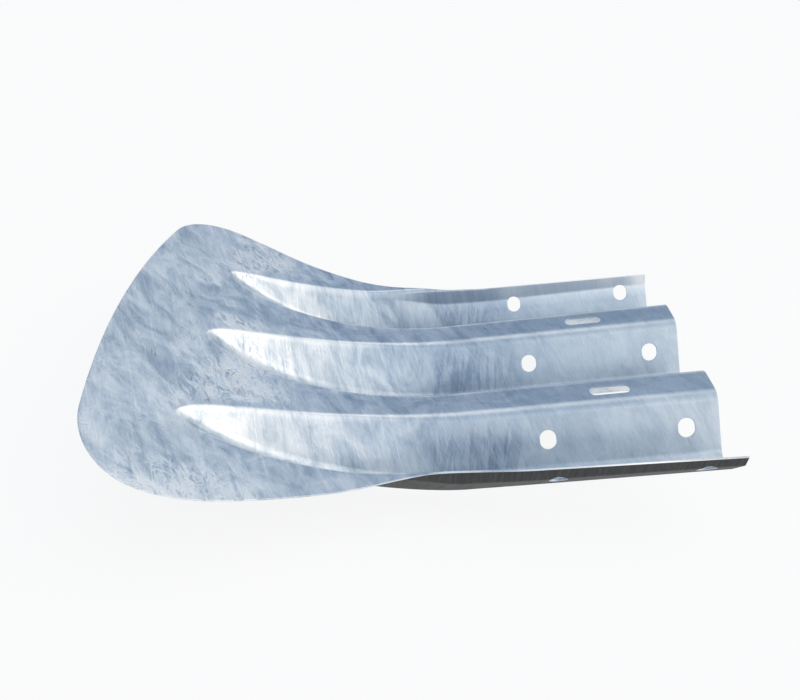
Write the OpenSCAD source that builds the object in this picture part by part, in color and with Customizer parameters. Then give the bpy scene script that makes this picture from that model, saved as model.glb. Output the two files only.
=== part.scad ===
// Fishtail guardrail end terminal: one pressed, galvanized steel sheet. Its cut end has the three
// waves of a thrie beam, and its tail is a flat fan that bends back towards the posts. It lies with its
// post side up. X runs along the beam to the cut end, Y across it, Z up, with the floor at zero.

/* [Sheet] */
// Thickness of the steel sheet
sheet_thickness = 3; // [2.6:0.1:4]
// Length of the sheet, measured along its surface
sheet_length = 979; // [960:1:1040]

/* [Waves] */
// Length of the straight beam end, from the cut end to where the tail starts to bend
beam_length = 400; // [340:5:440]
// Spacing of the waves, centre to centre
wave_pitch = 194; // [188:1:200]
// Depth of the waves, from crest face to trough face
wave_depth = 83; // [76:1:88]
// Angle of the wave sides to the plane of the beam
side_angle = 56.5; // [54:0.5:60]
// Radius of the wave bends at the middle of the sheet
bend_radius = 22.5; // [18:0.5:24]
// Flat along the bottom of a trough
trough_flat = 2; // [1:0.5:6]

/* [Edges] */
// Depth below the crests at which the outermost wave sides turn up into lips
lip_depth = 32; // [24:1:40]
// Angle from upright at which the lips lean out
lip_lean = 9; // [6:0.5:14]
// Radius of the bend under the lips
lip_radius = 14; // [8:0.5:18]
// Distance by which the outermost wave sides are spread at the cut end
end_spread = 7; // [0:0.5:9]
// Depth of the free edges below the crests at the cut end
edge_drop = 11; // [4:0.5:18]
// Height of the free edges over the crests where the tail starts to widen
edge_rise = 8; // [0:0.5:10]

/* [Tail] */
// Radius to which the tail bends back
flare_radius = 740; // [600:10:1000]
// Distance along the surface from the cut end to the points of the troughs
trough_run = 838; // [800:1:860]
// Radius of the bends round the troughs in the tail
rim_radius = 8; // [6:0.5:16]
// Greatest width of the tail
tail_width = 686; // [670:1:710]
// Angle at which the tail widens
flank_angle = 16; // [12:0.5:18]
// Radius between the beam edge and the flank
flank_fillet = 550; // [300:10:650]
// Radius between the flank and the widest place
flank_crown = 330; // [200:10:400]
// Radius of the two rounded corners of the tail
corner_radius = 116; // [80:1:130]
// Radius of the nearly straight end edge
end_radius = 1400; // [1000:10:2000]

/* [Holes] */
// Length of the splice bolt slots, up the wave sides
splice_slot_length = 31; // [26:0.5:34]
// Width of the splice bolt slots, along the beam
splice_slot_width = 26; // [20:0.5:30]
// Distance from the cut end to the first column of splice slots
splice_inset = 51; // [40:1:60]
// Distance between the two columns of splice slots
splice_spacing = 216; // [200:1:225]
// Length of the post bolt slots, along the beam
post_slot_length = 64; // [40:1:80]
// Width of the post bolt slots
post_slot_width = 19; // [16:0.5:24]

/* [Rest] */
// Angle to which the piece tips back on a level floor
rest_tilt = 11; // [0:0.1:16]

/* [Hidden] */

// Wave section at the middle of the sheet
bend_run = bend_radius * sin(side_angle);
bend_drop = bend_radius * (1 - cos(side_angle));
side_run = (wave_depth - 2 * bend_drop) / tan(side_angle);
trough_half = trough_flat / 2 + 2 * bend_run + side_run;
slot_offset = trough_flat / 2 + bend_run + side_run / 2;

// Outer side of the outermost troughs: a wave side, a lip that turns up at its foot, and a rim
lip_angle = 90 - lip_lean;
lip_foot = trough_flat / 2 + bend_run + (wave_depth - bend_drop - lip_depth) / tan(side_angle);
lip_tangent = lip_radius * tan((lip_angle - side_angle) / 2);
lip_start = lip_foot - lip_tangent * cos(side_angle);
lip_end = lip_foot + lip_tangent * cos(lip_angle);
lip_start_depth = lip_depth + lip_tangent * sin(side_angle);
lip_top = lip_foot + lip_depth / tan(lip_angle);
rim_run = rim_radius * sin(lip_angle);
rim_drop = rim_radius * (1 - cos(lip_angle));
outer_half = lip_top + rim_radius * tan(lip_angle / 2);

// Tail outline, in distances along the surface and across it
waist_half = wave_pitch + lip_top;
corner_y = tail_width / 2 - corner_radius;
corner_angle = asin(corner_y / (end_radius - corner_radius));
widest_s = sheet_length - end_radius + (end_radius - corner_radius) * cos(corner_angle);
crown_s = widest_s - flank_crown * sin(flank_angle);
crown_y = tail_width / 2 - flank_crown * (1 - cos(flank_angle));
flank_foot_s = crown_s - (crown_y - waist_half) / tan(flank_angle);
fillet_tangent = flank_fillet * tan(flank_angle / 2);
waist_s = flank_foot_s - fillet_tangent;
fillet_end_s = flank_foot_s + fillet_tangent * cos(flank_angle);
end_half = end_radius * corner_angle * PI / 180;
edge_half = end_half + corner_radius * (90 - corner_angle) * PI / 180;

// Stretches of the run-out: where the free edges stand high, where the crest bends get sharper, and
// where the lips fade into plain wave sides
rise_middle_s = beam_length + 40;
rise_reach = 150;
sharpen_run = 160;
fade_run = 150;

// Mesh of the sheet
bend_steps = 3;
lip_steps = 2;
rise_steps = 4;
run_steps = 21;
run_last_angle = 75;
end_steps = 7;
fan_start_s = min(trough_run, widest_s - 3);
crest_columns = 3;
plate_columns = 6;
plate_start_s = 640;
edge_snap = 0.8;
probe = 0.25;

// Half the width of the sheet where the tail is not yet rounded off
function half_width(s) =
    s <= waist_s ? wave_pitch + outer_scale(s) * (lip_top - edge_drop * (1 - s / waist_s) / tan(lip_angle)) :
    s <= fillet_end_s ? waist_half + flank_fillet - sqrt(pow(flank_fillet, 2) - pow(s - waist_s, 2)) :
    s <= crown_s ? crown_y - (crown_s - s) * tan(flank_angle) :
    tail_width / 2 - flank_crown + sqrt(pow(flank_crown, 2) - pow(widest_s - s, 2));

// Point of the rounded end edge, at a distance measured along it from the middle of the tail
function end_edge(e) =
    let (a = abs(e) / end_radius * 180 / PI)
    let (b = corner_angle + (abs(e) - end_half) / corner_radius * 180 / PI)
    abs(e) <= end_half
        ? [sheet_length - end_radius * (1 - cos(a)), sign(e) * end_radius * sin(a)]
        : [widest_s + corner_radius * cos(b), sign(e) * (corner_y + corner_radius * sin(b))];

// How far a trough is through its run-out, from 0 at the straight beam to 1 at its point
function run_out(s) = max(0, min(1, (s - beam_length) / (trough_run - beam_length)));

// Half the opening of a trough, its depth, the radius of its crest bends and the angle of its sides
function opening(s) = trough_half * sqrt(1 - pow(run_out(s), 2));
function trough_depth(s) = wave_depth * (1 - pow(run_out(s), 2));
function crest_radius(s) =
    rim_radius + (bend_radius - rim_radius) * max(0, min(1, 1 - (s - beam_length) / sharpen_run));
function slope_angle(s) =
    let (r = bend_radius + crest_radius(s), a = opening(s) - trough_flat / 2, b = trough_depth(s) - r)
    atan2(b, a) + asin(min(1, r / norm([a, b])));

// Spread or narrowing of the outer side of the outermost troughs, and how high its rim stands
function outer_scale(s) =
    s < waist_s ? 1 + end_spread / outer_half * (1 - s / waist_s) : sqrt(1 - pow(run_out(s), 2));
function rise(s) = edge_rise * (1 + cos(180 * min(1, abs(s - rise_middle_s) / rise_reach))) / 2;
function fade(s) = (1 - cos(180 * max(0, min(1, (s - beam_length) / fade_run)))) / 2;

// Depth below the crest, at a distance from the middle of a trough towards a crest
function side_depth(s, y) =
    let (r = crest_radius(s), t = slope_angle(s), a = y - trough_flat / 2, b = opening(s) - y)
    b <= 0 ? 0 :
    a <= 0 ? trough_depth(s) :
    a < bend_radius * sin(t) ? trough_depth(s) - bend_radius + sqrt(pow(bend_radius, 2) - pow(a, 2)) :
    b < r * sin(t) ? r - sqrt(pow(r, 2) - pow(b, 2)) :
    r * (1 - cos(t)) + (b - r * sin(t)) * tan(t);

// The same towards a free edge, for the full section with its lip
function outer_depth(y) =
    let (a = y - trough_flat / 2, b = outer_half - y)
    b <= 0 ? 0 :
    a <= 0 ? wave_depth :
    a < bend_run ? wave_depth - bend_radius + sqrt(pow(bend_radius, 2) - pow(a, 2)) :
    y < lip_start ? wave_depth - bend_drop - (a - bend_run) * tan(side_angle) :
    y < lip_end ? lip_start_depth - lip_radius * (cos(side_angle) - lip_cosine(y)) :
    b > rim_run ? rim_drop + (b - rim_run) * tan(lip_angle) :
    rim_radius - sqrt(pow(rim_radius, 2) - pow(b, 2));
function lip_cosine(y) = sqrt(1 - pow(sin(side_angle) + (y - lip_start) / lip_radius, 2));

// Depth of the pressed sheet at one place
function depth(s, y) =
    let (a = abs(y))
    run_out(s) == 1 ? 0 :
    a < wave_pitch ? side_depth(s, min(a, wave_pitch - a)) :
    let (y = (a - wave_pitch) / outer_scale(s))
    let (lipped = outer_depth(y) / wave_depth)
    let (plain = side_depth(s, y * opening(s) / outer_half) / trough_depth(s))
    ((1 - fade(s)) * lipped + fade(s) * plain) * (trough_depth(s) + rise(s)) - rise(s);

// Point at a height above the crest plane, which bends back with the tail
function bent(s, y, h) =
    let (a = max(0, s - beam_length) / flare_radius * 180 / PI, r = flare_radius - h)
    [-min(s, beam_length) - r * sin(a), y, flare_radius - r * cos(a)];
function middle(p) = bent(p[0], p[1], -sheet_thickness / 2 - depth(p[0], p[1]));

// Unit normal of the sheet, towards the post side
function unit(v) = v / norm(v);
function sheet_normal(p) =
    unit(cross(middle(p + [0, probe]) - middle(p - [0, probe]), middle(p + [probe, 0]) - middle(p - [probe, 0])));

// Columns of the mesh across half the sheet: a wave side, the crest, the next wave side, the outer
// side, the plate and the free edge
side_count = 2 * (bend_steps + 1);
second_side = side_count + crest_columns;
outer_side = second_side + side_count;
outer_columns = concat(
    [for (k = [0:bend_steps]) trough_flat / 2 + bend_radius * sin(side_angle * k / bend_steps)],
    [for (k = [0:lip_steps])
        let (t = side_angle + (lip_angle - side_angle) * k / lip_steps)
        lip_start + lip_radius * (sin(t) - sin(side_angle))],
    [for (k = [bend_steps:-1:0]) outer_half - rim_radius * sin(lip_angle * k / bend_steps)]);
plate_column = outer_side + len(outer_columns);
edge_column = plate_column + plate_columns;
half_count = edge_column + 1;
full_count = 2 * half_count;

// Place across the sheet of a column of the far half; past the last row of the run-out it stays
run_length = trough_run - beam_length;
run_end_s = beam_length + run_length * sin(run_last_angle);
function side_y(s, k) =
    let (t = slope_angle(s) / bend_steps)
    k <= bend_steps ? trough_flat / 2 + bend_radius * sin(t * k)
                    : opening(s) - crest_radius(s) * sin(t * (side_count - 1 - k));
function column_y(s, j) =
    let (c = min(s, run_end_s), rim_y = wave_pitch + outer_scale(c) * outer_half)
    j < side_count ? side_y(c, j) :
    j < second_side
        ? opening(c) + (wave_pitch - 2 * opening(c)) * (j - side_count + 1) / (crest_columns + 1) :
    j < outer_side ? wave_pitch - side_y(c, outer_side - 1 - j) :
    j < plate_column ? wave_pitch + outer_scale(c) * outer_columns[j - outer_side] :
    rim_y + (half_width(s) - rim_y) * (j - plate_column + 1) / (plate_columns + 1);

// Column that stands for this one: the crests and the plate are left whole on the beam, and the free
// edge takes over what it cuts off
function live_column(s, j) =
    j >= side_count && j < second_side && s < plate_start_s ? second_side :
    j >= plate_column && s < plate_start_s || column_y(s, j) > half_width(s) - edge_snap ? edge_column : j;

// The same for all columns, counted from the near edge to the far one
function live_index(s, i) =
    i < half_count ? half_count - 1 - live_column(s, half_count - 1 - i)
                   : half_count + live_column(s, i - half_count);
function full_y(s, i) =
    i < half_count ? -column_y(s, half_count - 1 - i) : column_y(s, i - half_count);

// Rows of the mesh: straight across up to the fan, then turning into the rounded end edge
rise_start_s = rise_middle_s - rise_reach;
stations = concat([0],
                  [for (k = [0:rise_steps - 1]) rise_start_s + (beam_length - rise_start_s) * k / rise_steps],
                  [for (k = [0:run_steps]) beam_length + run_length * sin(run_last_angle * k / run_steps)],
                  [(run_end_s + fan_start_s) / 2]);
row_count = len(stations) + end_steps + 1;
function row_s(r) = r < len(stations) ? stations[r] : fan_start_s;
function mesh_point(r, i) =
    let (s = row_s(r), y = full_y(s, i), t = max(0, r - len(stations)) / end_steps)
    t == 0 ? [s, y] : (1 - t) * [s, y] + t * end_edge(y / half_width(s) * edge_half);

mesh = [for (r = [0:row_count - 1]) [for (i = [0:full_count - 1]) mesh_point(r, i)]];
normals = [for (row = mesh) [for (p = row) sheet_normal(p)]];
function face_points(side) =
    [for (r = [0:row_count - 1], i = [0:full_count - 1])
        middle(mesh[r][i]) + side * sheet_thickness / 2 * normals[r][i]];
sheet_points = concat(face_points(1), face_points(-1));

// Corner of the mesh on the upper (0) or lower (1) face, and the two triangles of a patch
function corner(side, r, i) = (side * row_count + r) * full_count + live_index(row_s(r), i);
function patch(a, b, c, d) =
    [for (t = [[a, c, b], [a, d, c]]) if (t[0] != t[1] && t[1] != t[2] && t[2] != t[0]) t];
sheet_faces = concat(
    [for (r = [0:row_count - 2], i = [0:full_count - 2])
        each patch(corner(0, r, i), corner(0, r, i + 1), corner(0, r + 1, i + 1), corner(0, r + 1, i))],
    [for (r = [0:row_count - 2], i = [0:full_count - 2])
        each patch(corner(1, r, i), corner(1, r + 1, i), corner(1, r + 1, i + 1), corner(1, r, i + 1))],
    [for (r = [0:row_count - 2], i = [0, full_count - 1])
        each i == 0 ? patch(corner(0, r, i), corner(0, r + 1, i), corner(1, r + 1, i), corner(1, r, i))
                    : patch(corner(0, r, i), corner(1, r, i), corner(1, r + 1, i), corner(0, r + 1, i))],
    [for (i = [0:full_count - 2], r = [0, row_count - 1])
        each r == 0 ? patch(corner(0, r, i), corner(1, r, i), corner(1, r, i + 1), corner(0, r, i + 1))
                    : patch(corner(0, r, i), corner(0, r, i + 1), corner(1, r, i + 1), corner(1, r, i))]);

// Where the tipped piece has to move to stand on the floor, centred on the origin
tipped_x = [for (p = sheet_points) p[0] * cos(rest_tilt) - p[2] * sin(rest_tilt)];
tipped_z = [for (p = sheet_points) p[0] * sin(rest_tilt) + p[2] * cos(rest_tilt)];
rest_shift = [-(min(tipped_x) + max(tipped_x)) / 2, 0, -min(tipped_z)];

// Bolt slot square through the sheet, turned to lie along the beam or across it
module bolt_slot(s, y, length, width, turn) {
    n = sheet_normal([s, y]);
    reach = (length - width) / 2;
    cut = 4 * sheet_thickness;
    translate(middle([s, y]))
        rotate([atan2(-n[1], n[2]), 0, 0])
            rotate(turn) {
                cube([2 * reach, width, cut], center = true);
                for (x = [-reach, reach])
                    translate([x, 0, 0])
                        cylinder(d = width, h = cut, center = true, $fn = 48);
            }
}

// Splice bolt slots of one column, one in each wave side
module splice_column(s) {
    outer_y = wave_pitch + slot_offset * outer_scale(s);
    for (side = [-1, 1], y = [slot_offset, wave_pitch - slot_offset, outer_y])
        bolt_slot(s, side * y, splice_slot_length, splice_slot_width, 90);
}

// The pressed sheet with its bolt slots
module terminal_sheet() {
    color("lightsteelblue")
        translate(rest_shift)
            rotate([0, -rest_tilt, 0])
                difference() {
                    polyhedron(points = sheet_points, faces = sheet_faces, convexity = 8);
                    for (k = [0, 1])
                        splice_column(splice_inset + k * splice_spacing);
                    for (side = [-1, 1])
                        bolt_slot(splice_inset + splice_spacing / 2, side * wave_pitch / 2,
                                  post_slot_length, post_slot_width, 0);
                }
}

terminal_sheet();
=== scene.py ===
"""Fishtail guardrail end terminal: the pressed sheet with its zinc coat, on a white floor."""

import math

import bpy
import numpy as np
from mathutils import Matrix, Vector
from mathutils.geometry import delaunay_2d_cdt


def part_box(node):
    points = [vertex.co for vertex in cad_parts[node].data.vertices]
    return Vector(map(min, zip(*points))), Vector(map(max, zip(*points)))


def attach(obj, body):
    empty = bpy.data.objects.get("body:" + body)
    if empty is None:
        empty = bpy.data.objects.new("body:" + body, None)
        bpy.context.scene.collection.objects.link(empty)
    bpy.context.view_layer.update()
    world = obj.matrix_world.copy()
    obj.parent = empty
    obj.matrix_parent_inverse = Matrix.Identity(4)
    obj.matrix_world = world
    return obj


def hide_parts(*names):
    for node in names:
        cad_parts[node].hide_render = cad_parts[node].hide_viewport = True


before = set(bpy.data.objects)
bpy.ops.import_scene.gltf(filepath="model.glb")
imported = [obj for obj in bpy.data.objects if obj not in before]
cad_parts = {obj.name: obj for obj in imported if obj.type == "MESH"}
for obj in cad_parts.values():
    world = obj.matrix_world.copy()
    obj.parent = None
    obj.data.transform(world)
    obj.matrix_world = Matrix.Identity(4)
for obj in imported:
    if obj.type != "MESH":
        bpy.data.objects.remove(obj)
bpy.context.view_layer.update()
LOW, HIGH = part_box("terminal_sheet")

# Sizes of the sheet, in millimetres and degrees, as in the part's source
THICKNESS = 3.0
LENGTH, BEAM_LENGTH = 979.0, 400.0
PITCH, DEPTH, SIDE_ANGLE = 194.0, 83.0, 56.5
BEND_RADIUS, TROUGH_FLAT = 22.5, 2.0
LIP_DEPTH, LIP_ANGLE, LIP_RADIUS = 32.0, 81.0, 14.0
END_SPREAD, EDGE_DROP, EDGE_RISE = 7.0, 11.0, 8.0
FLARE_RADIUS, TROUGH_RUN, RIM_RADIUS, TAIL_WIDTH = 740.0, 838.0, 8.0, 686.0
FLANK_ANGLE, FLANK_FILLET, FLANK_CROWN = 16.0, 550.0, 330.0
CORNER_RADIUS, END_RADIUS = 116.0, 1400.0
SPLICE_LENGTH, SPLICE_WIDTH, SPLICE_INSET, SPLICE_SPACING = 31.0, 26.0, 51.0, 216.0
POST_LENGTH, POST_WIDTH = 64.0, 19.0
RISE_MIDDLE, RISE_REACH, SHARPEN_RUN, FADE_RUN = BEAM_LENGTH + 40.0, 150.0, 160.0, 150.0
TILT = 11.0
EDGE_ROUND = 0.7

# Millimetres in a metre; and in metres, how far the underside's place on the flat sheet is shifted,
# and how far the floor lies under the sheet
MM = 1000
UNDERSIDE_SHIFT = 2.0
FLOOR_GAP = 0.0005

# Fineness of the mesh
BEND_STEPS, LIP_STEPS, RISE_STEPS, RUN_STEPS, RUN_LAST_ANGLE = 8, 5, 20, 90, 84.0
CREST_COLUMNS, PLATE_COLUMNS, PLATE_START, EDGE_SNAP, LEAST_GAP = 10, 24, 640.0, 0.8, 0.01
END_STEPS, HOLE_STEPS, ROUND_STEPS = 26, 64, 3
SLOT_SAMPLES, SLOT_REACH = 301, 0.75
CUT_TOLERANCE, INSIDE_SLACK, TINY = 1e-5, 1e-9, 1e-6


def sin(a):
    return math.sin(math.radians(a))


def cos(a):
    return math.cos(math.radians(a))


def tan(a):
    return math.tan(math.radians(a))


BEND_RUN = BEND_RADIUS * sin(SIDE_ANGLE)
BEND_DROP = BEND_RADIUS * (1 - cos(SIDE_ANGLE))
SIDE_RUN = (DEPTH - 2 * BEND_DROP) / tan(SIDE_ANGLE)
TROUGH_HALF = TROUGH_FLAT / 2 + 2 * BEND_RUN + SIDE_RUN
SLOT_OFFSET = TROUGH_FLAT / 2 + BEND_RUN + SIDE_RUN / 2

LIP_FOOT = TROUGH_FLAT / 2 + BEND_RUN + (DEPTH - BEND_DROP - LIP_DEPTH) / tan(SIDE_ANGLE)
LIP_TANGENT = LIP_RADIUS * tan((LIP_ANGLE - SIDE_ANGLE) / 2)
LIP_START = LIP_FOOT - LIP_TANGENT * cos(SIDE_ANGLE)
LIP_END = LIP_FOOT + LIP_TANGENT * cos(LIP_ANGLE)
LIP_START_DEPTH = LIP_DEPTH + LIP_TANGENT * sin(SIDE_ANGLE)
LIP_TOP = LIP_FOOT + LIP_DEPTH / tan(LIP_ANGLE)
RIM_RUN, RIM_DROP = RIM_RADIUS * sin(LIP_ANGLE), RIM_RADIUS * (1 - cos(LIP_ANGLE))
OUTER_HALF = LIP_TOP + RIM_RADIUS * tan(LIP_ANGLE / 2)

WAIST_HALF = PITCH + LIP_TOP
CORNER_Y = TAIL_WIDTH / 2 - CORNER_RADIUS
CORNER_ANGLE = math.degrees(math.asin(CORNER_Y / (END_RADIUS - CORNER_RADIUS)))
WIDEST_S = LENGTH - END_RADIUS + (END_RADIUS - CORNER_RADIUS) * cos(CORNER_ANGLE)
CROWN_S = WIDEST_S - FLANK_CROWN * sin(FLANK_ANGLE)
CROWN_Y = TAIL_WIDTH / 2 - FLANK_CROWN * (1 - cos(FLANK_ANGLE))
FLANK_FOOT_S = CROWN_S - (CROWN_Y - WAIST_HALF) / tan(FLANK_ANGLE)
FILLET_TANGENT = FLANK_FILLET * tan(FLANK_ANGLE / 2)
WAIST_S = FLANK_FOOT_S - FILLET_TANGENT
FILLET_END = FLANK_FOOT_S + FILLET_TANGENT * cos(FLANK_ANGLE)
END_HALF = END_RADIUS * math.radians(CORNER_ANGLE)
EDGE_HALF = END_HALF + CORNER_RADIUS * math.radians(90 - CORNER_ANGLE)
RUN_LENGTH = TROUGH_RUN - BEAM_LENGTH
RUN_END = BEAM_LENGTH + RUN_LENGTH * sin(RUN_LAST_ANGLE)
RISE_START = RISE_MIDDLE - RISE_REACH


def half_width(s):
    """Half the width of the sheet where the tail isn't yet rounded off."""
    if s <= WAIST_S:
        trimmed = LIP_TOP - EDGE_DROP * (1 - s / WAIST_S) / tan(LIP_ANGLE)
        return PITCH + float(outer_scale(s)) * trimmed
    if s <= FILLET_END:
        return WAIST_HALF + FLANK_FILLET - math.sqrt(FLANK_FILLET**2 - (s - WAIST_S) ** 2)
    if s <= CROWN_S:
        return CROWN_Y - (CROWN_S - s) * tan(FLANK_ANGLE)
    return TAIL_WIDTH / 2 - FLANK_CROWN + math.sqrt(FLANK_CROWN**2 - (WIDEST_S - s) ** 2)


def end_edge(e):
    """Point of the rounded end edge, at a distance along it from the middle of the tail."""
    side = 1 if e > 0 else -1
    a = math.degrees(abs(e) / END_RADIUS)
    b = CORNER_ANGLE + math.degrees((abs(e) - END_HALF) / CORNER_RADIUS)
    if abs(e) <= END_HALF:
        return LENGTH - END_RADIUS * (1 - cos(a)), side * END_RADIUS * sin(a)
    return WIDEST_S + CORNER_RADIUS * cos(b), side * (CORNER_Y + CORNER_RADIUS * sin(b))


def run_out(s):
    """How far the troughs have run out: 0 on the beam end, 1 at their points."""
    return np.clip((s - BEAM_LENGTH) / RUN_LENGTH, 0, 1)


def opening(s):
    """Half the width of a trough at the level of the crests."""
    return TROUGH_HALF * np.sqrt(1 - run_out(s) ** 2)


def trough_depth(s):
    """Depth of a trough below the crests."""
    return DEPTH * (1 - run_out(s) ** 2)


def crest_radius(s):
    """Radius of the bends at the crests, which get sharper where the tail starts."""
    blunt = np.clip(1 - (s - BEAM_LENGTH) / SHARPEN_RUN, 0, 1)
    return RIM_RADIUS + (BEND_RADIUS - RIM_RADIUS) * blunt


def slope_angle(s):
    """Angle of the wave sides, in radians."""
    r = BEND_RADIUS + crest_radius(s)
    a, b = opening(s) - TROUGH_FLAT / 2, trough_depth(s) - r
    return np.arctan2(b, a) + np.arcsin(np.clip(r / np.hypot(a, b), 0, 1))


def outer_scale(s):
    """Spread or narrowing of the outer side of the outermost troughs."""
    return np.where(
        s < WAIST_S, 1 + END_SPREAD / OUTER_HALF * (1 - s / WAIST_S), np.sqrt(1 - run_out(s) ** 2)
    )


def rise(s):
    """Height of the free edges over the crests."""
    return EDGE_RISE * (1 + np.cos(np.pi * np.clip(np.abs(s - RISE_MIDDLE) / RISE_REACH, 0, 1))) / 2


def fade(s):
    """How far the lips have faded into plain wave sides."""
    return (1 - np.cos(np.pi * np.clip((s - BEAM_LENGTH) / FADE_RUN, 0, 1))) / 2


def arc(radius, x):
    """Height of a round bend over its end, at a distance from its top."""
    return radius - np.sqrt(np.clip(radius**2 - x**2, 0, None))


def side_depth(s, y):
    """Depth below the crest, at a distance from the middle of a trough towards a crest."""
    r, t, low = crest_radius(s), slope_angle(s), trough_depth(s)
    a, b = y - TROUGH_FLAT / 2, opening(s) - y
    side = r * (1 - np.cos(t)) + (b - r * np.sin(t)) * np.tan(t)
    return np.select(
        [b <= 0, a <= 0, a < BEND_RADIUS * np.sin(t), b < r * np.sin(t)],
        [0.0 * s, low, low - arc(BEND_RADIUS, a), arc(r, b)],
        side,
    )


def outer_depth(y):
    """The same towards a free edge, for the full section with its lip."""
    a, b = y - TROUGH_FLAT / 2, OUTER_HALF - y
    lip_sine = np.clip(sin(SIDE_ANGLE) + (y - LIP_START) / LIP_RADIUS, -1, 1)
    return np.select(
        [b <= 0, a <= 0, a < BEND_RUN, y < LIP_START, y < LIP_END, b > RIM_RUN],
        [
            0.0 * y,
            DEPTH + 0.0 * y,
            DEPTH - arc(BEND_RADIUS, a),
            DEPTH - BEND_DROP - (a - BEND_RUN) * tan(SIDE_ANGLE),
            LIP_START_DEPTH - LIP_RADIUS * (cos(SIDE_ANGLE) - np.sqrt(1 - lip_sine**2)),
            RIM_DROP + (b - RIM_RUN) * tan(LIP_ANGLE),
        ],
        arc(RIM_RADIUS, b),
    )


def depth(s, y):
    """Depth of the pressed sheet below its crests."""
    a = np.abs(y)
    inner = side_depth(s, np.minimum(a, np.abs(PITCH - a)))
    across = (a - PITCH) / np.maximum(outer_scale(s), TINY)
    plain = side_depth(s, across * opening(s) / OUTER_HALF) / np.maximum(trough_depth(s), TINY)
    outer = (1 - fade(s)) * outer_depth(across) / DEPTH + fade(s) * plain
    outer = outer * (trough_depth(s) + rise(s)) - rise(s)
    return np.where(run_out(s) == 1, 0.0, np.where(a < PITCH, inner, outer))


def middle(s, y):
    """Points on the middle of the sheet, in the beam's own frame."""
    a = np.clip(s - BEAM_LENGTH, 0, None) / FLARE_RADIUS
    r = FLARE_RADIUS + THICKNESS / 2 + depth(s, y)
    x = -np.minimum(s, BEAM_LENGTH) - r * np.sin(a)
    return np.stack([x, y, FLARE_RADIUS - r * np.cos(a)], axis=1)


def unit(v):
    return v / np.linalg.norm(v, axis=1, keepdims=True)


def sheet_normal(s, y, probe=0.05):
    """Unit normals of the sheet, towards the post side."""
    return unit(
        np.cross(
            middle(s, y + probe) - middle(s, y - probe),
            middle(s + probe, y) - middle(s - probe, y),
        )
    )


# Columns of the mesh across the outer side of an outermost trough
OUTER_COLUMNS = [
    TROUGH_FLAT / 2 + BEND_RADIUS * sin(SIDE_ANGLE * k / BEND_STEPS) for k in range(BEND_STEPS + 1)
]
LIP_ANGLES = [SIDE_ANGLE + (LIP_ANGLE - SIDE_ANGLE) * k / LIP_STEPS for k in range(LIP_STEPS + 1)]
OUTER_COLUMNS += [LIP_START + LIP_RADIUS * (sin(a) - sin(SIDE_ANGLE)) for a in LIP_ANGLES]
OUTER_COLUMNS += [
    OUTER_HALF - RIM_RADIUS * sin(LIP_ANGLE * k / BEND_STEPS) for k in range(BEND_STEPS, -1, -1)
]
SIDE_COUNT = 2 * (BEND_STEPS + 1)
SECOND_SIDE = SIDE_COUNT + CREST_COLUMNS
OUTER_SIDE = SECOND_SIDE + SIDE_COUNT
PLATE_COLUMN = OUTER_SIDE + len(OUTER_COLUMNS)
EDGE_COLUMN = PLATE_COLUMN + PLATE_COLUMNS


def side_y(s, k):
    """Place of a column of a wave side, from the middle of its trough."""
    t = float(slope_angle(s)) / BEND_STEPS
    if k <= BEND_STEPS:
        return TROUGH_FLAT / 2 + BEND_RADIUS * math.sin(t * k)
    return float(opening(s)) - float(crest_radius(s)) * math.sin(t * (SIDE_COUNT - 1 - k))


def column_y(s, j):
    """Place of a column of the far half across the sheet; past the end of the troughs it stays."""
    c = min(s, RUN_END)
    if j < SIDE_COUNT:
        return side_y(c, j)
    if j < SECOND_SIDE:
        half = float(opening(c))
        return half + (PITCH - 2 * half) * (j - SIDE_COUNT + 1) / (CREST_COLUMNS + 1)
    if j < OUTER_SIDE:
        return PITCH - side_y(c, OUTER_SIDE - 1 - j)
    if j < PLATE_COLUMN:
        return PITCH + float(outer_scale(c)) * OUTER_COLUMNS[j - OUTER_SIDE]
    rim_y = PITCH + float(outer_scale(c)) * OUTER_HALF
    return rim_y + (half_width(s) - rim_y) * (j - PLATE_COLUMN + 1) / (PLATE_COLUMNS + 1)


def live_column(s, j):
    """Column that stands for this one: the free edge takes over what it cuts off."""
    cut_off = j >= PLATE_COLUMN and s < PLATE_START or column_y(s, j) > half_width(s) - EDGE_SNAP
    return EDGE_COLUMN if cut_off else j


class Plan:
    """The flat plan of the sheet: points by their distance along and across it, and faces."""

    def __init__(self):
        self.points, self.faces, self.index = [], [], {}

    def point(self, s, y):
        """Index of a point; those within a thousandth of a millimetre are one."""
        key = (round(s * 1000), round(y * 1000))
        if key not in self.index:
            self.index[key] = len(self.points)
            self.points.append((s, y))
        return self.index[key]

    def face(self, corners):
        """Add a face, without the corners that fall together."""
        ring = [c for k, c in enumerate(corners) if c != corners[k - 1]]
        if len(ring) > 2:
            self.faces.append(ring)


def row_points(s, blend=0.0):
    """The points of one row, from the near edge to the far one; blend makes it the end edge."""
    far = [0.0]
    for j in range(EDGE_COLUMN + 1):
        y = column_y(s, live_column(s, j))
        far.append(y if y - far[-1] > LEAST_GAP else far[-1])
    row = [(s, y) for y in [-y for y in reversed(far[1:])] + far[1:]]
    if blend:
        ends = [end_edge(y / half_width(s) * EDGE_HALF) for _, y in row]
        row = [
            ((1 - blend) * s + blend * end_s, (1 - blend) * y + blend * end_y)
            for (_, y), (end_s, end_y) in zip(row, ends)
        ]
    return row


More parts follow.
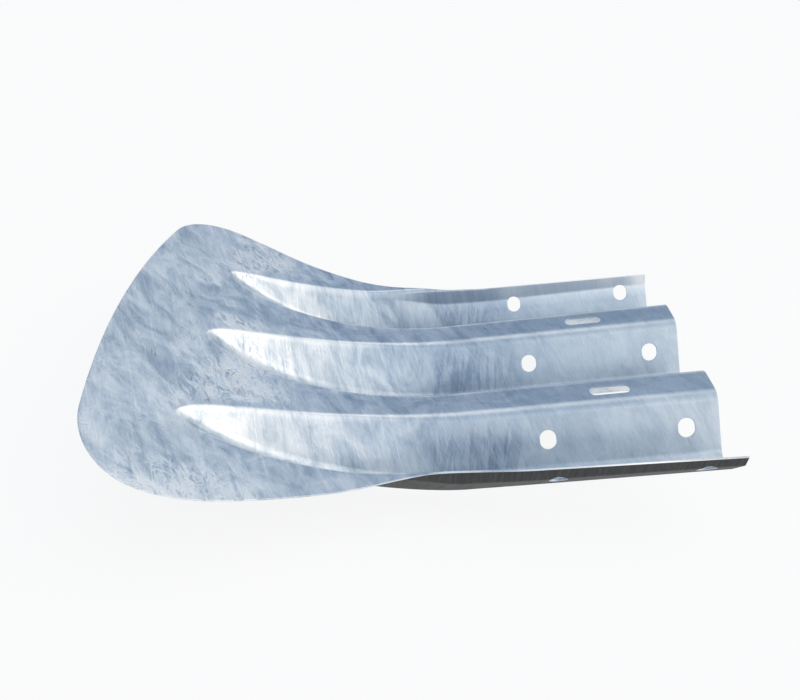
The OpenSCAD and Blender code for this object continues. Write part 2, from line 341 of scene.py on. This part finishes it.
def slot_loop(s, y, along, across):
    """Outline on the plan of a slot with round ends, cut square to the sheet at its middle."""
    near = y + across * np.linspace(-SLOT_REACH, SLOT_REACH, SLOT_SAMPLES)
    normal = sheet_normal(np.array([s]), np.array([y]))[0]
    climb = np.array([0.0, normal[2], -normal[1]]) / math.hypot(normal[1], normal[2])
    heights = (middle(np.full(len(near), s), near) - middle(np.array([s]), np.array([y]))) @ climb
    radius = min(along, across) / 2
    loop = []
    for k in range(HOLE_STEPS):
        t = 2 * math.pi * (k + 0.5) / HOLE_STEPS
        x = math.copysign(along / 2 - radius, math.cos(t)) + radius * math.cos(t)
        up = math.copysign(across / 2 - radius, math.sin(t)) + radius * math.sin(t)
        loop.append((s + x, float(np.interp(up, heights, near))))
    return loop


def hole_loops():
    """Outlines of the bolt slots on the plan."""
    post_s = SPLICE_INSET + SPLICE_SPACING / 2
    loops = []
    for side in (-1, 1):
        for s in (SPLICE_INSET, SPLICE_INSET + SPLICE_SPACING):
            outer_y = PITCH + SLOT_OFFSET * float(outer_scale(s))
            for y in (SLOT_OFFSET, PITCH - SLOT_OFFSET, outer_y):
                loops.append(slot_loop(s, side * y, SPLICE_WIDTH, SPLICE_LENGTH))
        loops.append(slot_loop(post_s, side * PITCH / 2, POST_LENGTH, POST_WIDTH))
    return loops


def inside(loop, p):
    """True if a point of the plan lies inside a convex outline."""
    q = np.array(loop)
    d = np.roll(q, -1, axis=0) - q
    turns = d[:, 0] * (p[1] - q[:, 1]) - d[:, 1] * (p[0] - q[:, 0])
    return bool(np.all(turns > -INSIDE_SLACK))


def beam_plan(plan):
    """The straight beam end, cut up between the columns and round the bolt slots."""
    first, last = row_points(0.0), row_points(RISE_START)
    pairs = sorted({(a[1], b[1]) for a, b in zip(first, last)})
    coords, edges = [], []
    for a, b in pairs:
        edges.append((len(coords), len(coords) + 1))
        coords += [(0.0, a), (RISE_START, b)]
    for k in range(len(pairs) - 1):
        edges += [(2 * k, 2 * k + 2), (2 * k + 1, 2 * k + 3)]
    loops = hole_loops()
    for loop in loops:
        start = len(coords)
        coords += loop
        edges += [(start + k, start + (k + 1) % len(loop)) for k in range(len(loop))]
    found = delaunay_2d_cdt([Vector(c) for c in coords], edges, [], 0, CUT_TOLERANCE)
    verts, faces, given = found[0], found[2], found[3]
    places = [coords[g[0]] if g else tuple(v) for v, g in zip(verts, given)]
    for f in faces:
        centre = np.mean([places[i] for i in f], axis=0)
        if not any(inside(loop, centre) for loop in loops):
            plan.face([plan.point(*places[i]) for i in f])


def tail_plan(plan):
    """The rest of the sheet, in rows that turn into the rounded end edge."""
    rise_run = BEAM_LENGTH - RISE_START
    run_angles = [RUN_LAST_ANGLE * k / RUN_STEPS for k in range(RUN_STEPS + 1)]
    stations = [RISE_START + rise_run * k / RISE_STEPS for k in range(RISE_STEPS)]
    stations += [BEAM_LENGTH + RUN_LENGTH * sin(a) for a in run_angles]
    stations.append((RUN_END + TROUGH_RUN) / 2)
    rows = [row_points(s) for s in stations]
    rows += [row_points(TROUGH_RUN, k / END_STEPS) for k in range(END_STEPS + 1)]
    for a, b in zip(rows, rows[1:]):
        for i in range(len(a) - 1):
            plan.face([plan.point(*corner) for corner in (a[i], b[i], b[i + 1], a[i + 1])])


def oriented(points, face):
    """The face's corners, turned so that they run the same way round on the plan."""
    p = points[face]
    area = np.sum(p[:, 0] * np.roll(p[:, 1], -1) - np.roll(p[:, 0], -1) * p[:, 1])
    return face if area < 0 else face[::-1]


def rim_edges(faces):
    """Edges that have a face on one side only."""
    edges = dict.fromkeys((a, b) for f in faces for a, b in zip(f, f[1:] + f[:1]))
    return [(a, b) for a, b in edges if (b, a) not in edges]


def rim_outward(rim, centre, normal):
    """For each point of the rim, the step outwards that moves both of its edges out by 1."""
    outward = np.zeros_like(centre)
    parts = {}
    for a, b in rim:
        edge = centre[b] - centre[a]
        for v in (a, b):
            out = np.cross(edge, normal[v])
            out /= np.linalg.norm(out)
            outward[v] += out
            parts.setdefault(v, []).append(out)
    for v, outs in parts.items():
        outward[v] /= 1 + outs[0] @ outs[-1]
    return outward


def rim_profile():
    """Profile of the rim, from the upper face over the rounded edges to the lower one.

    Each point has its height, its place outwards, and its normal upwards and outwards.
    """
    upper = []
    for k in range(ROUND_STEPS + 1):
        a = 90 * k / ROUND_STEPS
        height = THICKNESS / 2 - EDGE_ROUND * (1 - cos(a))
        upper.append((height, -EDGE_ROUND * (1 - sin(a)), cos(a), sin(a)))
    return upper + [(-height, place, -up, out) for height, place, up, out in reversed(upper)]


def sheet_shell():
    """The solid sheet in the beam's own frame.

    Gives its points, their normals, their places on the plan, its faces, and how many faces the upper
    side has. Those come first, then as many of the lower side, then the rim.
    """
    plan = Plan()
    beam_plan(plan)
    tail_plan(plan)
    points = np.array(plan.points)
    faces = [oriented(points, f) for f in plan.faces]
    s, y = points[:, 0], points[:, 1]
    # Where the free edge has taken over the top of the lip's flat face, it keeps that face's normal
    flat_top = PITCH + outer_scale(s) * (OUTER_HALF - RIM_RUN)
    taken_over = (s < BEAM_LENGTH) & (np.abs(y) > flat_top) & (np.abs(y) < flat_top + EDGE_SNAP)
    normal = sheet_normal(s, np.where(taken_over, np.sign(y) * flat_top, y))
    centre = middle(s, y)
    rim = rim_edges(faces)
    on_rim = np.array(sorted({v for edge in rim for v in edge}))
    outward = rim_outward(rim, centre, normal)
    flat_out = unit(outward[on_rim])

    upper, lower = centre + THICKNESS / 2 * normal, centre - THICKNESS / 2 * normal
    for side in (upper, lower):
        side[on_rim] -= EDGE_ROUND * outward[on_rim]
    verts, norms, plan_at = [upper, lower], [normal, -normal], [points, points]
    count = len(points)
    rings = [np.arange(count)]
    for height, place, up, out in rim_profile()[1:-1]:
        ring = np.zeros(count, int)
        ring[on_rim] = sum(len(v) for v in verts) + np.arange(len(on_rim))
        rings.append(ring)
        verts.append(centre[on_rim] + height * normal[on_rim] + place * outward[on_rim])
        norms.append(unit(up * normal[on_rim] + out * flat_out))
        plan_at.append(points[on_rim])
    rings.append(np.arange(count) + count)
    shell = faces + [[v + count for v in reversed(f)] for f in faces]
    for a, b in rim:
        for p, q in zip(rings, rings[1:]):
            shell.append([int(p[b]), int(p[a]), int(q[a]), int(q[b])])
    return np.vstack(verts), np.vstack(norms), np.vstack(plan_at), shell, len(faces)


def tipped(v):
    """Vectors of the beam's own frame, tipped back as the piece lies."""
    x = v[:, 0] * cos(TILT) - v[:, 2] * sin(TILT)
    z = v[:, 0] * sin(TILT) + v[:, 2] * cos(TILT)
    return np.stack([x, v[:, 1], z], axis=1)


def make_sheet():
    """The pressed sheet: both faces, and a rounded rim round its outline and its slots.

    Its UV layer holds the place on the flat sheet in metres, shifted along for the underside.
    """
    verts, norms, plan_at, faces, upper_count = sheet_shell()
    placed = tipped(verts)
    x, z = placed[:, 0], placed[:, 2]
    x += (LOW.x + HIGH.x) / 2 * MM - (x.min() + x.max()) / 2
    z += LOW.z * MM - z.min()

    mesh = bpy.data.meshes.new("pressed_sheet")
    mesh.from_pydata((placed / MM).tolist(), [], faces)
    uv = mesh.uv_layers.new(name="sheet")
    corner = np.zeros(len(mesh.loops), np.int32)
    mesh.loops.foreach_get("vertex_index", corner)
    sheet_uv = plan_at[corner] / MM
    upper_corners = sum(len(f) for f in faces[:upper_count])
    sheet_uv[upper_corners : 2 * upper_corners, 0] += UNDERSIDE_SHIFT
    uv.data.foreach_set("uv", sheet_uv.astype(np.float32).ravel())
    mesh.polygons.foreach_set("use_smooth", [True] * len(mesh.polygons))
    mesh.update()
    mesh.normals_split_custom_set_from_vertices(tipped(norms).tolist())
    obj = bpy.data.objects.new("pressed_sheet", mesh)
    bpy.context.scene.collection.objects.link(obj)
    return obj


class Nodes:
    """Short ways to make shader nodes."""

    def __init__(self, tree):
        self.tree = tree
        tree.nodes.clear()

    def new(self, kind, inputs=None, **attributes):
        node = self.tree.nodes.new(kind)
        for name, value in attributes.items():
            setattr(node, name, value)
        for name, value in (inputs or {}).items():
            if isinstance(value, bpy.types.NodeSocket):
                self.tree.links.new(value, node.inputs[name])
            else:
                node.inputs[name].default_value = value
        return node

    def math(self, operation, *values):
        return self.new("ShaderNodeMath", dict(enumerate(values)), operation=operation).outputs[0]

    def times(self, first, second):
        return self.math("MULTIPLY", first, second)

    def weighed(self, *terms):
        """Sum of the values, each times its weight."""
        parts = [self.times(value, weight) for value, weight in terms]
        total = parts[0]
        for part in parts[1:]:
            total = self.math("ADD", total, part)
        return total

    def spread(self, value, low, high, out_low=0.0, out_high=1.0):
        """The value's range from low to high, stretched over another and held past its ends."""
        ranges = {0: value, 1: low, 2: high, 3: out_low, 4: out_high}
        return self.new("ShaderNodeMapRange", ranges, clamp=True).outputs[0]

    def along_way(self, vector, way):
        """How far a direction points the given way: 1 along it, 0 square to it."""
        pair = {0: vector, 1: Vector(way).normalized()}
        return self.new("ShaderNodeVectorMath", pair, operation="DOT_PRODUCT").outputs["Value"]

    def ramp(self, value, shades):
        """Colour ramp through shades that are given with their places."""
        node = self.new("ShaderNodeValToRGB", {"Fac": value})
        elements = node.color_ramp.elements
        for k, (place, colour) in enumerate(shades):
            stop = elements[k] if k < 2 else elements.new(place)
            stop.position, stop.color = place, (*colour, 1)
        return node.outputs[0]

    def mixed(self, share, first, second):
        """Mix of two colours, by the share of the second."""
        node = self.new("ShaderNodeMix", {0: share, 6: first, 7: second}, data_type="RGBA")
        return node.outputs[2]

    def noise(self, vector, scale, detail, roughness, distortion):
        inputs = {"Vector": vector, "Scale": scale, "Detail": detail}
        inputs.update({"Roughness": roughness, "Distortion": distortion})
        return self.new("ShaderNodeTexNoise", inputs).outputs["Fac"]

    def placed(self, vector, angle, stretch, offset=(0, 0, 0)):
        """The vector shifted and turned, in degrees, and then stretched."""
        turn = {"Vector": vector, "Rotation": (0, 0, math.radians(angle)), "Location": offset}
        turned = self.new("ShaderNodeMapping", turn).outputs[0]
        return self.new("ShaderNodeMapping", {"Vector": turned, "Scale": stretch}).outputs[0]

    def output(self, shader, kind="ShaderNodeOutputMaterial"):
        self.tree.links.new(shader.outputs[0], self.new(kind).inputs[0])


# Colours of the zinc, from dark to pale, and the dark greys of the painted shade on the outside of
# the outermost waves
ZINC_SHADES = [(0.02, (0.33, 0.41, 0.50)), (0.48, (0.58, 0.65, 0.715)), (0.95, (0.82, 0.85, 0.87))]
PAINTED_SHADE_GREYS = [(0.35, (0.045, 0.046, 0.047)), (0.7, (0.085, 0.087, 0.088))]


def zinc():
    """Hot-dip galvanized steel: mottled, with flow marks, crumples, wrinkles and scratches.

    The patterns lie on the flat sheet, by the distance along it and across it in metres.
    Light and shade are painted into the colour too. Painted shade makes the crests of the beam end
    a darker blue and darkens the walls where the tail starts, which are also streaked. Painted
    highlights pale the fold lines of the crumples and the far rims of the troughs in the tail,
    painted light pales the lips, and painted shade makes the outside of the outermost waves a dull
    dark grey.
    """
    material = bpy.data.materials.new("galvanized_steel")
    material.use_nodes = True
    n = Nodes(material.node_tree)
    sheet = n.new("ShaderNodeUVMap", uv_map="sheet").outputs[0]
    along, aside, _ = n.new("ShaderNodeSeparateXYZ", {0: sheet}).outputs
    across = n.math("ABSOLUTE", aside)
    from_crest = n.math("ABSOLUTE", n.math("SUBTRACT", across, PITCH / 2 / MM))

    # Patterns
    clouds = n.noise(n.placed(sheet, -30, (1, 1.6, 1)), 13.0, 6.0, 0.6, 1.1)
    flow = n.noise(n.placed(sheet, -60, (1, 5, 1), (3, 1, 0)), 15.0, 6.0, 0.62, 0.9)
    grain = n.noise(n.placed(sheet, -55, (1, 3, 1), (7, 2, 0)), 95.0, 5.0, 0.7, 0.3)
    scratch = n.noise(n.placed(sheet, -64, (1, 22, 1), (2, 9, 0)), 20.0, 3.0, 0.5, 1.0)
    scratch = n.spread(scratch, 0.60, 0.72)
    streaks = n.noise(n.placed(sheet, -14, (7, 1.2, 1), (4, 4, 0)), 10.0, 5.0, 0.65, 1.0)
    folds = n.noise(n.placed(sheet, -50, (1, 2.4, 1), (5, 3, 0)), 24.0, 6.0, 0.6, 1.6)
    folds = n.math("ABSOLUTE", n.math("SUBTRACT", n.times(folds, 2.0), 1.0))
    folds = n.spread(n.math("SUBTRACT", 1.0, folds), 0.72, 1.0)
    wrinkle = n.noise(n.placed(sheet, -38, (1, 3.2, 1), (8, 5, 0)), 9.0, 3.0, 0.5, 2.5)
    wrinkle = n.math("ABSOLUTE", n.math("SUBTRACT", wrinkle, 0.5))
    wrinkle = n.spread(wrinkle, 0.0, 0.014, 1.0, 0.0)
    patch = n.noise(n.placed(sheet, 0, (1, 1, 1), (6, 7, 0)), 7.0, 2.0, 0.5, 0.5)

    # Where they show: crumples and wrinkles in the tail, streaks and painted shade on the walls
    # of the bend, calmer patterns towards the cut end, painted shade on the crests of the beam end,
    # painted light on the inside of the lips, and painted shade on the outside of the outermost
    # waves
    tail = n.times(n.spread(along, 0.60, 0.74), n.spread(along, 0.93, 0.84))
    crumpled = n.times(n.spread(patch, 0.46, 0.62), tail)
    wrinkled = n.times(n.spread(patch, 0.56, 0.44), n.spread(along, 0.74, 0.84))
    bend = n.times(n.spread(along, 0.27, 0.34), n.spread(along, 0.50, 0.42))
    walls = n.times(n.spread(from_crest, 0.030, 0.050), n.spread(across, 0.243, 0.230))
    # Painted shade: the walls of the bend where the tail starts are darkened, and the streaks on them
    # darken them further
    painted_shade_walls = n.times(bend, walls)
    streaked = n.times(painted_shade_walls, n.spread(streaks, 0.48, 0.60))
    calm = n.spread(along, 0.54, 0.26, 1.0, 0.34)
    # Painted shade: the crest flats of the beam end are darkened, for the dark sky they reflect
    crest = n.times(n.spread(from_crest, 0.034, 0.016), n.spread(along, 0.50, 0.15))
    # Painted light: the lips of the beam end are paled, brighter than their slant to the light leaves
    # them
    lip = n.times(n.spread(across, 0.232, 0.248), n.spread(along, 0.36, 0.22))
    underside = n.math("GREATER_THAN", along, UNDERSIDE_SHIFT / 2)
    # Painted shade: the outside of the outermost waves, which faces down and away from the light, is
    # painted a dark grey
    outside = n.times(underside, n.spread(across, 0.203, 0.209))

    # The far rims of the troughs in the tail get a painted highlight, a pale line where light
    # catches the sharp bends of the press
    run = n.spread(along, BEAM_LENGTH / MM, TROUGH_RUN / MM)
    half = n.math("SQRT", n.math("SUBTRACT", 1.0, n.times(run, run)))
    half = n.times(half, n.spread(aside, 0.21, 0.22, TROUGH_HALF / MM, OUTER_HALF / MM))
    wave = n.math("ROUND", n.math("DIVIDE", aside, PITCH / MM))
    from_rim = n.math("SUBTRACT", n.math("SUBTRACT", aside, n.times(wave, PITCH / MM)), half)
    rim = n.spread(n.math("ABSOLUTE", n.math("ADD", from_rim, 0.004)), 0.007, 0.002)
    rim = n.times(rim, n.times(n.spread(along, 0.42, 0.56), n.spread(along, 0.85, 0.82)))

    # Tone, from dark to pale
    mottle = n.math("SUBTRACT", n.spread(clouds, 0.39, 0.61), 0.5)
    tone = n.weighed(
        (n.math("MULTIPLY_ADD", mottle, calm, 0.5), 0.54),
        (n.times(n.spread(flow, 0.36, 0.64), calm), 0.26),
        (n.spread(grain, 0.3, 0.7), 0.20),
        (n.times(scratch, calm), 0.24),
        # Painted highlights: pale fold lines on the crumples, where light catches their ridges; the
        # crumples are also a pattern and relief of the zinc
        (n.times(crumpled, folds), 0.80),
        (crumpled, -0.15),
        (n.times(wrinkled, wrinkle), -0.35),
        (streaked, -0.30),
        # painted shade on the walls of the bend
        (painted_shade_walls, -0.14),
        # painted shade on the crests of the beam end
        (crest, -0.24),
        # painted highlight on the far rims of the troughs in the tail
        (rim, 0.30),
        # painted light on the lips
        (lip, 0.50),
    )
    # The zinc's tone, with the dark greys of painted shade on the outside of the outermost waves
    colour = n.mixed(outside, n.ramp(tone, ZINC_SHADES), n.ramp(grain, PAINTED_SHADE_GREYS))
    rough = n.math("ADD", 0.27, n.times(n.spread(flow, 0.3, 0.7), 0.12))
    rough = n.math("ADD", rough, n.times(outside, 0.25))

    # Relief
    height = n.weighed(
        (n.times(clouds, calm), 0.45),
        (n.times(flow, calm), 0.40),
        (n.times(grain, calm), 0.09),
        (scratch, 0.05),
        (n.times(crumpled, folds), 0.36),
        (n.times(wrinkled, wrinkle), -0.20),
        (streaked, -0.06),
    )
    relief = {"Height": height, "Strength": 0.4, "Distance": 0.004}
    bump = n.new("ShaderNodeBump", relief).outputs[0]
    metal = {"Base Color": colour, "Metallic": 0.88, "Roughness": rough, "Normal": bump}
    n.output(n.new("ShaderNodeBsdfPrincipled", metal))
    return material


GLOW_SHARE = 0.88


def white_floor():
    """White, with the object's shadow; where it is seen or mirrored it glows, to show white."""
    material = bpy.data.materials.new("floor_white")
    material.use_nodes = True
    n = Nodes(material.node_tree)
    matt = n.new("ShaderNodeBsdfDiffuse", {"Color": (0.84, 0.85, 0.86, 1)}).outputs[0]
    glow = n.new("ShaderNodeEmission", {"Color": (1, 1, 1, 1), "Strength": 1.0}).outputs[0]
    shown = n.new("ShaderNodeMixShader", {0: GLOW_SHARE, 1: matt, 2: glow}).outputs[0]
    path = n.new("ShaderNodeLightPath").outputs
    seen = n.math("MAXIMUM", path["Is Camera Ray"], path["Is Glossy Ray"])
    seen = n.math("MAXIMUM", seen, path["Is Transmission Ray"])
    n.output(n.new("ShaderNodeMixShader", {0: seen, 1: matt, 2: shown}))
    return material


def make_floor():
    """A round floor that sweeps up into a low backdrop all round."""
    flat_rings, flat, sweep, sweep_step, top, sides = (2.0, 6.0, 12.0), 20.0, 5.0, 6, 8.0, 120
    sweep_angles = range(0, 90 + sweep_step, sweep_step)
    profile = [(radius, 0.0) for radius in flat_rings]
    profile += [(flat + sweep * sin(a), sweep - sweep * cos(a)) for a in sweep_angles]
    profile.append((flat + sweep, top))
    round_angles = [360 * k / sides for k in range(sides)]
    points, faces = [(0.0, 0.0, 0.0)], [(0, 1 + k, 1 + (k + 1) % sides) for k in range(sides)]
    for radius, height in profile:
        points += [(radius * cos(a), radius * sin(a), height) for a in round_angles]
    for ring in range(len(profile) - 1):
        for k in range(sides):
            a, b = 1 + ring * sides + k, 1 + ring * sides + (k + 1) % sides
            faces.append((a, a + sides, b + sides, b))
    mesh = bpy.data.meshes.new("floor")
    mesh.from_pydata(points, [], faces)
    mesh.shade_smooth()
    mesh.materials.append(white_floor())
    floor = bpy.data.objects.new("floor", mesh)
    floor.location.z = LOW.z - FLOOR_GAP
    bpy.context.scene.collection.objects.link(floor)


# Colours of the sky, from the side opposite the bright one to the bright one itself
SKY_SHADES = [
    (0.0, (0.16, 0.21, 0.29)),
    (0.26, (0.20, 0.27, 0.37)),
    (0.33, (0.29, 0.36, 0.45)),
    (0.46, (0.33, 0.39, 0.47)),
    (0.60, (0.50, 0.54, 0.58)),
    (0.72, (0.64, 0.64, 0.64)),
    (0.88, (0.90, 0.83, 0.77)),
]
BRIGHT_SIDE, OVERHEAD = (0.93, -0.25, 0.27), (-0.04, 0.24, 0.97)
GLOW_COLOUR = (0.86, 0.84, 0.82, 1)
SKY_STRENGTH, FRONT_STRENGTH = 1.6, 0.5


def make_world():
    """A soft sky, dim and blue at the tail's side, brightest over the cut end and overhead."""
    world = bpy.data.worlds.new("studio")
    bpy.context.scene.world = world
    world.use_nodes = True
    n = Nodes(world.node_tree)
    way = n.new("ShaderNodeTexCoord").outputs["Generated"]
    sky = n.ramp(n.spread(n.along_way(way, BRIGHT_SIDE), -0.3, 1.0), SKY_SHADES)
    _, back, up = n.new("ShaderNodeSeparateXYZ", {0: way}).outputs
    front = n.times(n.spread(back, -0.4, -0.8), n.spread(up, 0.32, 0.60))
    strength = n.math("MULTIPLY_ADD", front, FRONT_STRENGTH, SKY_STRENGTH)
    low_back = n.times(n.spread(up, 0.34, 0.10), n.spread(back, 0.2, 0.5))
    glow = n.math("MAXIMUM", low_back, n.spread(n.along_way(way, OVERHEAD), 0.925, 0.985))
    light = {"Color": n.mixed(glow, sky, GLOW_COLOUR), "Strength": strength}
    n.output(n.new("ShaderNodeBackground", light), "ShaderNodeOutputWorld")


def make_lamp():
    """A large soft lamp, high over the cut end."""
    lamp = bpy.data.lights.new("key", "AREA")
    lamp.shape, lamp.size, lamp.size_y, lamp.energy = "RECTANGLE", 2.6, 2.6, 14
    place, aim = Vector((2.6, -0.4, 2.2)), Vector((0.0, 0.0, 0.1))
    obj = bpy.data.objects.new("key", lamp)
    obj.location = place
    obj.rotation_euler = (aim - place).to_track_quat("-Z", "Y").to_euler()
    bpy.context.scene.collection.objects.link(obj)


def make_camera():
    camera = bpy.data.cameras.new("camera")
    camera.sensor_width, camera.lens = 36.0, 29.71
    camera.clip_end = 100.0
    obj = bpy.data.objects.new("camera", camera)
    obj.location = (-0.0820, -0.9002, 0.8159)
    obj.rotation_euler = [math.radians(a) for a in (52.347, -4.115, -0.238)]
    bpy.context.scene.collection.objects.link(obj)
    bpy.context.scene.camera = obj


make_camera()
sheet = make_sheet()
sheet.data.materials.append(zinc())
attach(sheet, "root")
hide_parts("terminal_sheet")

make_floor()
make_world()
make_lamp()

bpy.context.scene.view_settings.view_transform = "Standard"
